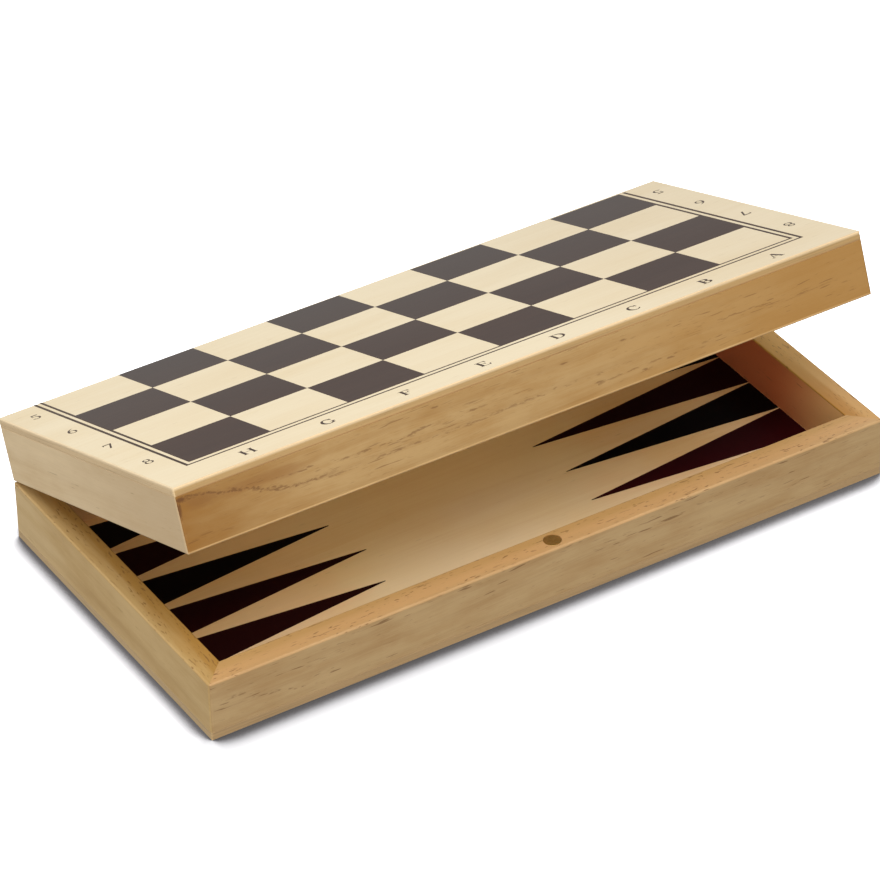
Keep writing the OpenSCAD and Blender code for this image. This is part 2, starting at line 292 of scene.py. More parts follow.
def veneer(name, half, seed, pale, gold, rough=0.36, coat=0.2, contrast=1.0, dots=0.12, cut=None, warm=None, sides=None, end=None):
    """A face sheet: very quiet straight grain, a few faint short marks."""
    g = Look(name)
    p = g.place(half)
    q = g.map(p, shift=(seed * 331.0, seed * 77.0, seed * 13.0))
    w = g.noise(g.map(q, scale=(1 / 210, 1 / 40, 1 / 40)), detail=2, colour=True)
    w = g.vec("MULTIPLY", g.vec("SUBTRACT", w, (0.5, 0.5, 0.5)), (0, 10.0, 0))
    qw = g.vec("ADD", q, w)
    fibre = g.noise(g.map(qw, scale=(1 / 30, 1 / 0.42, 1 / 0.42)), detail=3, rough=0.6)
    lines = g.noise(g.map(qw, scale=(1 / 150, 1 / 2.4, 1 / 2.4)), detail=4, rough=0.6)
    bands = g.noise(g.map(qw, scale=(1 / 260, 1 / 15, 1 / 15)), detail=3, rough=0.5)
    cloud = g.noise(g.map(q, scale=(1 / 90, 1 / 45, 1 / 45)), detail=3, rough=0.6)
    tone = g.math("MULTIPLY", g.math("SUBTRACT", bands, 0.5), 1.4 * contrast)
    tone = g.math("ADD", tone, g.math("MULTIPLY", g.math("SUBTRACT", lines, 0.5), 0.9 * contrast))
    tone = g.math("ADD", tone, g.math("MULTIPLY", g.math("SUBTRACT", cloud, 0.5), 0.9))
    tone = g.math("ADD", tone, g.math("MULTIPLY", g.math("SUBTRACT", fibre, 0.5), 0.4))
    tone = g.math("ADD", tone, 0.5, clamp=True)
    mid = tuple((a + b) / 2 for a, b in zip(pale, gold))
    col = g.ramp(tone, [(0.0, lin(*(min(255, x * 1.02) for x in pale))), (0.4, lin(*pale)), (0.7, lin(*mid)), (1.0, lin(*gold))])
    if warm:
        # painted shade: the sheet is painted darker and warmer towards the fold, in uneven patches, for the shade and
        # warm bounce light under the lid
        y0, y1, tint, amount = warm
        x, y, z = g.split(p)
        n = g.noise(g.map(q, scale=(1 / 80, 1 / 34, 1 / 34), shift=(2, 5, 1)), detail=2)
        f = g.fit(g.math("ADD", y, g.math("MULTIPLY", g.math("SUBTRACT", n, 0.5), 70.0)), y0, y1, 0, amount, smooth=True)
        col = g.mix(f, col, lin(*tint), "MULTIPLY")
    x, y, z = g.split(p)
    if sides:
        # painted reflected light: the sheet is painted pinker towards its short ends, less so at the front
        x0, x1, tint, amount = sides
        n = g.noise(g.map(q, scale=(1 / 40, 1 / 22, 1 / 22), shift=(4, 1, 9)), detail=2)
        f = g.math("ADD", g.math("ABSOLUTE", x), g.math("MULTIPLY", g.math("SUBTRACT", n, 0.5), 60.0))
        f = g.math("MULTIPLY", g.fit(f, x0, x1, 0, amount, smooth=True), g.fit(y, -66, -38, 0.15, 1))
        col = g.mix(f, col, lin(*tint), "MULTIPLY")
    if end:
        # painted shade: the sheet is painted a little darker and cooler towards one end
        x0, x1, tint, amount = end
        col = g.mix(g.fit(x, x0, x1, 0, amount, smooth=True), col, lin(*tint), "MULTIPLY")
    m = dashes(g, qw, 9.0, 1.2, dots, size=(0.10, 0.26))
    col = g.mix(g.math("MULTIPLY", m, 0.22), col, lin(150, 112, 66))
    ro = g.math("ADD", rough - 0.05, g.math("MULTIPLY", fibre, 0.1))
    ro = g.math("ADD", ro, g.math("MULTIPLY", g.math("SUBTRACT", cloud, 0.5), 0.12), clamp=True)
    if cut:
        edge, mask, _, _ = edge_wood(g, p, *cut)
        col = g.mix(mask, col, edge)
        ro = g.math("ADD", ro, g.math("MULTIPLY", mask, 0.25), clamp=True)
    g.put(g.bsdf.inputs["Base Color"], col)
    g.put(g.bsdf.inputs["Roughness"], ro)
    h = g.math("ADD", g.math("MULTIPLY", fibre, 0.5), g.math("MULTIPLY", lines, 0.3))
    g.put(g.bsdf.inputs["Normal"], g.bump(h, 0.00003, 0.5))
    g.bsdf.inputs["Coat Weight"].default_value = coat
    g.bsdf.inputs["Coat Roughness"].default_value = 0.22
    g.bsdf.inputs["Specular IOR Level"].default_value = 0.5
    return g.mat


def ink(name, seed, dark, light, rough=0.42, show=0.5, coat=0.1, spec=0.4, far=None, across=None):
    """Screen printed ink: the veneer's grain shows through as faint streaks."""
    g = Look(name)
    p = g.place("own")
    q = g.map(p, shift=(seed * 331.0, seed * 77.0, seed * 13.0))
    fibre = g.noise(g.map(q, scale=(1 / 24, 1 / 0.38, 1 / 0.38)), detail=3, rough=0.62)
    lines = g.noise(g.map(q, scale=(1 / 120, 1 / 2.0, 1 / 2.0)), detail=4, rough=0.6)
    cloud = g.noise(g.map(q, scale=(1 / 55, 1 / 30, 1 / 30)), detail=3, rough=0.6)
    t = g.math("ADD", g.math("MULTIPLY", g.math("SUBTRACT", fibre, 0.5), 0.8), g.math("MULTIPLY", g.math("SUBTRACT", lines, 0.5), 0.7))
    t = g.math("ADD", t, g.math("MULTIPLY", g.math("SUBTRACT", cloud, 0.5), 0.8))
    t = g.math("ADD", g.math("MULTIPLY", t, show * 2), 0.4, clamp=True)
    col = g.ramp(t, [(0.0, lin(*dark)), (0.55, lin(*((a + b) / 2 for a, b in zip(dark, light)))), (1.0, lin(*light))])
    if far:
        # painted sheen: the ink is painted greyer towards the fold, where it reflects more of the bright surroundings
        x, y, z = g.split(p)
        col = g.mix(g.fit(y, -30, 86, 0, 0.5), col, lin(*far))
    if across:
        # painted shade: from y0 to y1 the ink is mixed towards the tint; on the lower maroon this paints it darker
        # towards the fold, for the shade under the lid; on the lower black it puts a wine tint over one band
        y0, y1, tint, amount, stop = across
        x, y, z = g.split(p)
        f = g.math("MULTIPLY", g.fit(y, y0, y1, 0, amount, smooth=True), g.math("GREATER_THAN", y, stop))
        col = g.mix(f, col, lin(*tint))
    g.put(g.bsdf.inputs["Base Color"], col)
    g.put(g.bsdf.inputs["Roughness"], g.math("ADD", rough - 0.07, g.math("MULTIPLY", fibre, 0.14), clamp=True))
    g.put(g.bsdf.inputs["Normal"], g.bump(g.math("ADD", fibre, g.math("MULTIPLY", lines, 0.4)), 0.00004, 0.6))
    g.bsdf.inputs["Coat Weight"].default_value = coat
    g.bsdf.inputs["Coat Roughness"].default_value = 0.25
    g.bsdf.inputs["Specular IOR Level"].default_value = spec
    return g.mat


def board_edge(name, half, ends, front, arris=None):
    """The board's core, seen at its cut edge only."""
    g = Look(name)
    p = g.place(half)
    col, _, t, z = edge_wood(g, p, ends, front)
    if arris:
        # rounded with the face sheet, and paler there
        tint, amount = arris
        col = g.mix(g.fit(z, 0.6, 1.7, amount, 0, smooth=True), col, lin(*tint))
    pits = g.noise(g.map(p, scale=(1 / 2.4, 1 / 2.4, 1 / 0.35)), detail=2)
    col = g.mix(g.math("MULTIPLY", g.fit(pits, 0.62, 0.75), 0.4), col, lin(128, 92, 50))
    g.put(g.bsdf.inputs["Base Color"], col)
    g.put(g.bsdf.inputs["Roughness"], g.fit(pits, 0.2, 0.8, 0.5, 0.62))
    g.put(g.bsdf.inputs["Normal"], g.bump(g.math("ADD", t, g.math("MULTIPLY", pits, -0.4)), 0.00005, 0.7))
    g.bsdf.inputs["Coat Weight"].default_value = 0.1
    g.bsdf.inputs["Coat Roughness"].default_value = 0.3
    return g.mat


def metal(name, dark, light, rough, along=(1, 1, 1), grime=0.25, scale=1.0):
    g = Look(name)
    p = g.add("ShaderNodeTexCoord").outputs["Object"]
    q = g.map(p, scale=(1000, 1000, 1000))
    brush = g.noise(g.map(q, scale=along), detail=3, rough=0.6)
    blot = g.noise(g.map(q, scale=(0.35 * scale,) * 3), detail=4, rough=0.6)
    t = g.math("ADD", g.math("MULTIPLY", brush, 0.45), g.math("MULTIPLY", blot, 0.55))
    col = g.ramp(t, [(0.3, lin(*dark)), (0.62, lin(*light))])
    spots = g.fit(g.noise(g.map(q, scale=(1.7 * scale,) * 3), detail=2), 0.6, 0.74)
    col = g.mix(g.math("MULTIPLY", spots, grime), col, lin(*(0.55 * x for x in dark)))
    g.put(g.bsdf.inputs["Base Color"], col)
    g.put(g.bsdf.inputs["Roughness"], g.fit(t, 0.3, 0.7, rough + 0.08, rough - 0.06))
    g.put(g.bsdf.inputs["Normal"], g.bump(brush, 0.00002, 0.5))
    g.bsdf.inputs["Metallic"].default_value = 1.0
    return g.mat


# marks that belong to one rail only: each gets the rail's own millimetres
# (x along the rail, z up from the board) and the wandering grain

def amber_end(x0, x1, colour, amount):
    """A warm stain that fades out along the rail, from x0 to x1."""
    def feature(g, q0, qw):
        x, y, z = g.split(q0)
        n = g.noise(g.map(qw, scale=(1 / 24, 1 / 9, 1 / 9)), detail=3)
        f = g.fit(g.math("ADD", x, g.math("MULTIPLY", g.math("SUBTRACT", n, 0.5), 46.0)), x0, x1, amount, 0, smooth=True)
        return "tint", f, lin(*colour)
    return feature


def amber_far(x0, x1, colour, amount):
    """The same towards the rail's other end."""
    def feature(g, q0, qw):
        x, y, z = g.split(q0)
        n = g.noise(g.map(qw, scale=(1 / 60, 1 / 8, 1 / 8)), detail=3)
        f = g.fit(g.math("ADD", x, g.math("MULTIPLY", g.math("SUBTRACT", n, 0.5), 120.0)), x0, x1, 0, amount, smooth=True)
        return "tint", f, lin(*colour)
    return feature


def arch(points, thick, depth, step=3.4, wild=2.4, cover=0.46, fade=25.0):
    """A year ring broken into dark dashes, following z = f(x) on the face."""
    def feature(g, q0, qw):
        x, y, z = g.split(q0)
        curve = g.add("ShaderNodeFloatCurve")
        xs = [a for a, b in points]
        zs = [b for a, b in points]
        c = curve.mapping.curves[0]
        while len(c.points) < len(points):
            c.points.new(0.5, 0.5)
        for pt, (a, b) in zip(c.points, points):
            pt.location = ((a - xs[0]) / (xs[-1] - xs[0]), (b - min(zs)) / (max(zs) - min(zs)))
            pt.handle_type = "AUTO"
        curve.mapping.update()
        g.put(curve.inputs["Value"], g.fit(x, xs[0], xs[-1]))
        at = g.fit(curve.outputs[0], 0, 1, min(zs), max(zs))
        shake = g.noise(g.map(q0, scale=(1 / 4.0, 1 / 3.0, 1 / 3.0)), detail=4, rough=0.6)
        off = g.math("SUBTRACT", z, at)
        off = g.math("ADD", off, g.math("MULTIPLY", g.math("SUBTRACT", shake, 0.5), wild))
        band = g.fit(g.math("ABSOLUTE", off), 0.15 * thick, thick, 1, 0, smooth=True)
        bits = g.noise(g.map(q0, scale=(1 / step, 1 / 0.8, 1 / 0.8)), detail=2, rough=0.6)
        bits = g.fit(bits, cover, cover + 0.12)
        inside = g.math("MULTIPLY", g.math("GREATER_THAN", x, xs[0]), g.fit(x, xs[-1] - fade, xs[-1], 1, 0))
        front = g.math("GREATER_THAN", g.math("ABSOLUTE", y), 85.0)
        inside = g.math("MULTIPLY", inside, front)
        return "mark", g.math("MULTIPLY", g.math("MULTIPLY", g.math("MULTIPLY", band, bits), inside), depth)
    return feature


def spot(x0, z0, rx, rz, depth, colour=None):
    """One ragged blot on a long rail's outer face."""
    def feature(g, q0, qw):
        x, y, z = g.split(q0)
        n = g.noise(g.map(q0, scale=(1 / (0.8 * rx), 1 / (0.8 * rz), 1 / (0.8 * rz))), detail=3, rough=0.6)
        dx = g.math("DIVIDE", g.math("SUBTRACT", x, x0), rx)
        dz = g.math("DIVIDE", g.math("SUBTRACT", z, z0), rz)
        r = g.math("SQRT", g.math("ADD", g.math("MULTIPLY", dx, dx), g.math("MULTIPLY", dz, dz)))
        r = g.math("ADD", r, g.math("MULTIPLY", g.math("SUBTRACT", n, 0.5), 1.3))
        f = g.fit(r, 0.35, 1.0, depth, 0, smooth=True)
        f = g.math("MULTIPLY", f, g.math("GREATER_THAN", g.math("ABSOLUTE", y), 85.0))
        return ("mark", f) if colour is None else ("tint", f, lin(*colour))
    return feature


def flecks(points, depth):
    """Short open vessels at given places on a long rail's outer face."""
    def feature(g, q0, qw):
        x, y, z = g.split(q0)
        n = g.noise(g.map(q0, scale=(1 / 1.6, 1 / 0.8, 1 / 0.8)), detail=2, rough=0.6)
        wob = g.math("MULTIPLY", g.math("SUBTRACT", n, 0.5), 1.2)
        best = None
        for x0, z0, half in points:
            dx = g.math("MULTIPLY", g.math("SUBTRACT", x, x0), 1.0 / half)
            dz = g.math("SUBTRACT", z, z0)
            dz = g.math("MULTIPLY", g.math("SUBTRACT", dz, g.math("MULTIPLY", dx, 0.12)), 1.0 / 0.62)
            r = g.math("SQRT", g.math("ADD", g.math("MULTIPLY", dx, dx), g.math("MULTIPLY", dz, dz)))
            f = g.fit(g.math("ADD", r, wob), 0.3, 1.0, depth, 0, smooth=True)
            best = f if best is None else g.math("MAXIMUM", best, f)
        return "mark", g.math("MULTIPLY", best, g.math("GREATER_THAN", g.math("ABSOLUTE", y), 85.0))
    return feature


def painted_light_end(x0, x1, colour, amount):
    """Painted light: paler again towards one end of a side rail's inner face, over its painted shade."""
    def feature(g, q0, qw):
        x, y, z = g.split(q0)
        f = g.math("MULTIPLY", g.fit(x, x0, x1, amount, 0, smooth=True), g.fit(y, -160.8, -160.2, 0, 1))
        f = g.math("MULTIPLY", f, g.math("LESS_THAN", z, 28.6))
        return "tint", f, lin(*colour)
    return feature


def rim_marks(amount, at=0.63, keep=0.46):
    """Open vessels on the planed rim, where the grain comes up at an angle."""
    def feature(g, q0, qw):
        x, y, z = g.split(q0)
        m = vessels(g, qw, 3.6, 0.9, at, 0.07, 0.0, shift=(3, 9, 4))
        some = g.fit(g.noise(g.map(q0, scale=(1 / 30, 1 / 5, 1 / 5)), detail=1), keep, keep + 0.14)
        return "mark", g.math("MULTIPLY", g.math("MULTIPLY", m, some), g.math("MULTIPLY", g.math("GREATER_THAN", z, 28.7), amount))
    return feature


def rim_run(x0, x1, colour, amount):
    """A change of tone along the rim."""
    def feature(g, q0, qw):
        x, y, z = g.split(q0)
        f = g.fit(x, x0, x1, 0, amount, smooth=True)
        return "tint", g.math("MULTIPLY", f, g.math("GREATER_THAN", z, 28.6)), lin(*colour)
    return feature


def painted_edge_highlight(colour, amount):
    """A painted highlight: the rounded edge of a long rail, painted paler."""
    def feature(g, q0, qw):
        x, y, z = g.split(q0)
        n = g.noise(g.map(q0, scale=(1 / 26, 1 / 6, 1 / 6)), detail=2)
        f = g.math("MULTIPLY", g.fit(z, 28.1, 28.7, 0, amount, smooth=True), g.fit(n, 0.3, 0.6, 0.5, 1.0))
        return "tint", g.math("MULTIPLY", f, g.math("GREATER_THAN", g.math("ABSOLUTE", y), 85.0)), lin(*colour)
    return feature


def rim_tint(y0, y1, colour, amount, z0=28.6, wander=6.0):
    """The rim's colour, changing from y0 to y1 across the rail."""
    def feature(g, q0, qw):
        x, y, z = g.split(q0)
        n = g.noise(g.map(qw, scale=(1 / 45, 1 / 3.5, 1 / 3.5)), detail=3)
        f = g.fit(g.math("ADD", y, g.math("MULTIPLY", g.math("SUBTRACT", n, 0.5), wander)), y0, y1, 0, amount, smooth=True)
        return "tint", g.math("MULTIPLY", f, g.math("GREATER_THAN", z, z0)), lin(*colour)
    return feature


# The lid's frame is turned half a turn, so the end at the camera's left has
# positive x there; "seen" turns it back. Rails along y are turned a quarter:
# for them x runs along the rail and y across it.
LOOKS = {
    "lower_front_wall": wood("pine_lower_front", "own", "x", 1.0, (196, 164, 116), (176, 138, 88), (98, 58, 16), fine=0.66, long_=0.685, depth=0.58, ring=0.1, streak=0.3, gain=(0.88, 0.87, 0.85), features=(
        rim_tint(-90, -82, (197, 152, 99), 0.85), rim_tint(-81, -76, (182, 142, 84), 0.75), rim_marks(0.6, 0.62, 0.42),
        arch([(-168, 17.8), (-163, 18.8), (-156, 18.4), (-150, 16.6), (-144, 16.0)], 0.9, 0.45, 4.0, 3.0, 0.50, 8.0),
        arch([(-152, 14.6), (-147, 13.6), (-138, 12.4), (-127, 9.4), (-116, 8.0)], 0.8, 0.5, 4.0, 2.4, 0.50, 10.0))),
    "lower_back_wall": wood("pine_lower_back", "own", "x", 2.0, (198, 160, 106), (178, 134, 78), ring=0.15, streak=0.35, inner=(74.8, 74.2, (194, 138, 80), 0.65)),
    "lower_left_wall": wood("pine_lower_left", "own", "y", 3.0, (202, 170, 114), (184, 148, 90), (124, 86, 42), fine=0.70, long_=0.73, depth=0.4, ring=0.12, ring_mm=9.0, streak=0.45, features=(
        amber_far(30, 90, (222, 196, 148), 0.4),
        rim_tint(160, 166, (172, 136, 80), 0.5), rim_tint(171.0, 162.5, (162, 116, 44), 0.85, wander=11.0), rim_marks(0.75, 0.60, 0.40))),
    "lower_right_wall": wood("pine_lower_right", "own", "y", 4.0, (198, 160, 106), (178, 134, 78), ring=0.15, streak=0.35, inner=(-160.8, -160.2, (205, 108, 62), 0.92), features=(
        painted_light_end(-78, -16, (222, 180, 116), 0.85), rim_tint(-177, -169, (194, 150, 90), 0.85), rim_tint(-168, -162, (168, 116, 44), 0.85),
        rim_run(-62, -6, (244, 190, 90), 0.55), rim_marks(0.65, 0.62, 0.42))),
    "lid_front_wall": wood("pine_lid_front", "lid-cad", "x", 5.0, (177, 143, 92), (161, 121, 66), (92, 50, 8), fine=0.635, long_=0.665, depth=0.42, ring=0.12, streak=0.3, blot=1.4, corner_shade=0.7, seen=math.pi, features=(
        amber_end(-172, -100, (143, 99, 36), 0.8), amber_end(-180, -146, (140, 90, 14), 0.75), amber_far(-10, 150, (164, 117, 50), 0.7), painted_edge_highlight((226, 186, 128), 0.7),
        spot(-160, 9.0, 12.0, 4.0, 0.5, colour=(128, 84, 34)),
        spot(-132, 10, 26.0, 4.0, 0.45, colour=(136, 90, 38)),
        spot(-171.4, 10.6, 1.6, 4.6, 0.75), spot(-170.2, 5.8, 3.4, 1.5, 0.8),
        flecks([(-127, 3.5, 2.6), (-110, 12, 2.2), (-105, 18, 3.4), (-93, 14, 2.8), (-83, 14, 3.2), (-68, 19, 2.4), (-55, 13.5, 2.6), (-48, 7, 2.2),
                (-31, 14, 3.4), (16, 9, 2.8), (31, 22.5, 3.4), (46, 8.5, 2.4), (54, 24.5, 2.2), (67, 23.5, 2.6)], 0.5),
        arch([(-172, 6.6), (-165, 6.2), (-153, 8.2), (-141, 11.0), (-131, 14.2), (-121, 16.8), (-112, 17.8), (-96, 17.6)], 1.3, 0.56, 2.2, 5.0, 0.45, 30.0),
        arch([(-172, 5.4), (-165, 5.6), (-153, 8.6), (-141, 11.6), (-131, 14.8), (-121, 17.3), (-112, 18.0), (-96, 17.6)], 0.9, 0.62, 2.6, 3.4, 0.45, 14.0),
        arch([(-128, 11.2), (-109, 13.0), (-92, 14.1), (-70, 14.6), (-40, 13.6), (-10, 14.4)], 0.9, 0.5, 4.2, 2.4, 0.50),
        arch([(-108, 18.2), (-92, 19.2), (-68, 18.9), (-40, 19.4), (0, 18.6), (60, 19.6)], 0.9, 0.42, 4.2, 2.4, 0.50),
        arch([(30, 23.4), (60, 22.4), (90, 22.6), (120, 21.6)], 0.7, 0.4, 6.0, 2.0, 0.50),
        arch([(92, 15.4), (115, 15.8), (130, 17.6), (160, 16.6)], 0.6, 0.4, 6.0, 2.0, 0.46))),
    "lid_back_wall": wood("pine_lid_back", "lid-cad", "x", 6.0, (198, 160, 106), (178, 134, 78), ring=0.16, streak=0.35),
    "lid_left_wall": wood("pine_lid_left", "lid-cad", "y", 7.0, (227, 201, 158), (213, 183, 136), (128, 96, 58), fine=0.71, long_=0.72, depth=0.42, ring=0.06, streak=0.4, corner_shade=0.85, features=(
        amber_end(-86, 60, (196, 167, 126), 0.6),)),
    "lid_right_wall": wood("pine_lid_right", "lid-cad", "y", 8.0, (200, 164, 110), (182, 140, 84), ring=0.15, streak=0.35),
    "lower_panel_core": board_edge("board_edge_lower", "own", (188, 158, 112), (172, 140, 96)),
    "lid_panel_core": board_edge("board_edge_lid", "lid-cad", (217, 188, 143), (176, 142, 91), arris=((238, 214, 172), 0.6)),
    "lower_chess_face": veneer("cream_veneer_lower", "own", 1.0, (243, 226, 190), (234, 212, 170), contrast=0.5, cut=((188, 158, 112), (172, 140, 96))),
    "lid_chess_face": veneer("cream_veneer_lid", "lid-cad", 2.0, (243, 226, 190), (234, 212, 170), contrast=0.5, cut=((230, 206, 166), (220, 190, 146)), end=(10, -160, (247, 246, 246), 1.0)),
    # the trays' inner faces carry painted shade towards the fold; the lower one also painted reflected light at its
    # ends
    "lower_backgammon_face": veneer("inner_veneer_lower_painted_shade", "own", 3.0, (250, 225, 182), (238, 204, 152), rough=0.34, coat=0.3, contrast=0.6, cut=((184, 154, 108), (168, 136, 92)), warm=(-62, 8, (255, 247, 214), 1.0), sides=(45, 100, (252, 237, 226), 1.0)),
    "lid_backgammon_face": veneer("inner_veneer_lid_painted_shade", "lid-cad", 4.0, (242, 218, 176), (228, 196, 148), rough=0.34, coat=0.3, contrast=0.6, cut=((210, 180, 134), (170, 130, 80)), warm=(-70, 10, (254, 247, 226), 1.0)),
    "lower_magnet": metal("plated_disc", (160, 123, 64), (196, 160, 94), 0.55, along=(3, 3, 3), grime=0.3),
    "lid_magnet": None,
}
LOOKS["lid_magnet"] = LOOKS["lower_magnet"]
BRASS = metal("pressed_brass", (164, 124, 52), (214, 176, 96), 0.3, along=(0.25, 5, 5))
PIN = metal("drawn_brass", (154, 116, 50), (198, 158, 84), 0.28, along=(0.3, 8, 8))
SCREW = metal("turned_brass", (158, 120, 56), (218, 182, 106), 0.26, along=(4, 4, 4), scale=2.0)
for name in nodes:
    if name.endswith("_leaf"):
        LOOKS[name] = BRASS
    elif name.endswith("_pin"):
        LOOKS[name] = PIN
    elif name.endswith("_screws"):
        LOOKS[name] = SCREW

for name, o in nodes.items():
    if not o.data.materials:
        o.data.materials.append(LOOKS[name])
    for s in o.material_slots:
        s.material = LOOKS[name]


# ------------------------------------------------------------------ printing

def merged(polys):
    """Outlines that may overlap, as one flat set of triangles."""
    pts, faces = [], []
    for poly in polys:
        area = sum(a[0] * b[1] - b[0] * a[1] for a, b in zip(poly, poly[1:] + poly[:1]))
        poly = poly if area > 0 else poly[::-1]
        faces.append(list(range(len(pts), len(pts) + len(poly))))
        pts += [Vector(q) for q in poly]
    v, _, f, _, _, of = delaunay_2d_cdt(pts, [], faces, 1, 1e-4, True)
    return [tuple(q) for q in v], [tuple(t) for t, o in zip(f, of) if len(o)]


def printed(name, half, groups, outer, mat, lift=0.05, sink=0.02):
    """Thin ink on a board. groups: lists of outlines in mm in the half's own
    frame (x, y), each merged on its own. outer: on the outer face, or else on
    the inner one."""
    bm = bmesh.new()
    z_top, z_in = (-lift, sink) if outer else (BOARD_T + lift, BOARD_T - sink)
    for polys in groups:
        pts, tris = merged(polys)
        used = sorted({i for t in tris for i in t})
        top = {i: bm.verts.new((pts[i][0] * MM, pts[i][1] * MM, z_top * MM)) for i in used}
        low = {i: bm.verts.new((pts[i][0] * MM, pts[i][1] * MM, z_in * MM)) for i in used}
        count = {}
        for t in tris:
            for a, b in zip(t, t[1:] + t[:1]):
                count[(a, b)] = count.get((a, b), 0) + 1
        for t in tris:
            up = t[::-1] if outer else t
            bm.faces.new([top[i] for i in up])
            bm.faces.new([low[i] for i in up[::-1]])
        for (a, b) in count:
            if (b, a) not in count:
                ring = (top[a], low[a], low[b], top[b]) if not outer else (top[b], low[b], low[a], top[a])
                bm.faces.new(ring)
    bmesh.ops.recalc_face_normals(bm, faces=bm.faces)
    me = bpy.data.meshes.new(name)
    bm.to_mesh(me)
    bm.free()
    me.materials.append(mat)
    o = bpy.data.objects.new(name, me)
    bpy.context.scene.collection.objects.link(o)
    o.matrix_world = HALVES[half]
    bpy.context.view_layer.update()
    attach(o, half)
    return o


# Glyphs are one unit high, drawn as overlapping strokes: thick stems, thin
# hairlines, small flat serifs.
STEM, HAIR = 0.185, 0.09


def box_(x0, y0, x1, y1):
    return [(x0, y0), (x1, y0), (x1, y1), (x0, y1)]


def bar(x0, y0, x1, y1, t):
    dx, dy = x1 - x0, y1 - y0
    n = math.hypot(dx, dy)
    nx, ny = -dy / n * t / 2, dx / n * t / 2
    return [(x0 + nx, y0 + ny), (x0 - nx, y0 - ny), (x1 - nx, y1 - ny), (x1 + nx, y1 + ny)]


def bow(cx, cy, rx, ry, a0, a1, side=STEM, cap=HAIR, taper=(1, 1), n=None):
    """Part of a ring, thick at its sides and thin at its top and bottom."""
    n = n or max(6, int(abs(a1 - a0) / 9))
    out = []
    for k in range(n):
        quad = []
        for j, end in ((k, 0), (k + 1, 1)):
            f = j / n
            a = math.radians(a0 + (a1 - a0) * f)
            w = taper[0] + (1 - taper[0]) * min(1, f * 3) if f < 0.5 else taper[1] + (1 - taper[1]) * min(1, (1 - f) * 3)
            c, s = math.cos(a), math.sin(a)
            o = (cx + rx * c, cy + ry * s)
            i = (cx + (rx - side * w) * c, cy + (ry - cap * w) * s)
            quad.append((o, i))
        out.append([quad[0][0], quad[1][0], quad[1][1], quad[0][1]])
    return out


def foot(x, y, half=0.15, t=0.045):
    y0, y1 = (y, y + t) if y < 0.5 else (y - t, y)
    return box_(x - half, y0, x + half, y1)


def stem(x, y0=0.0, y1=1.0):
    return box_(x - STEM / 2, y0, x + STEM / 2, y1)


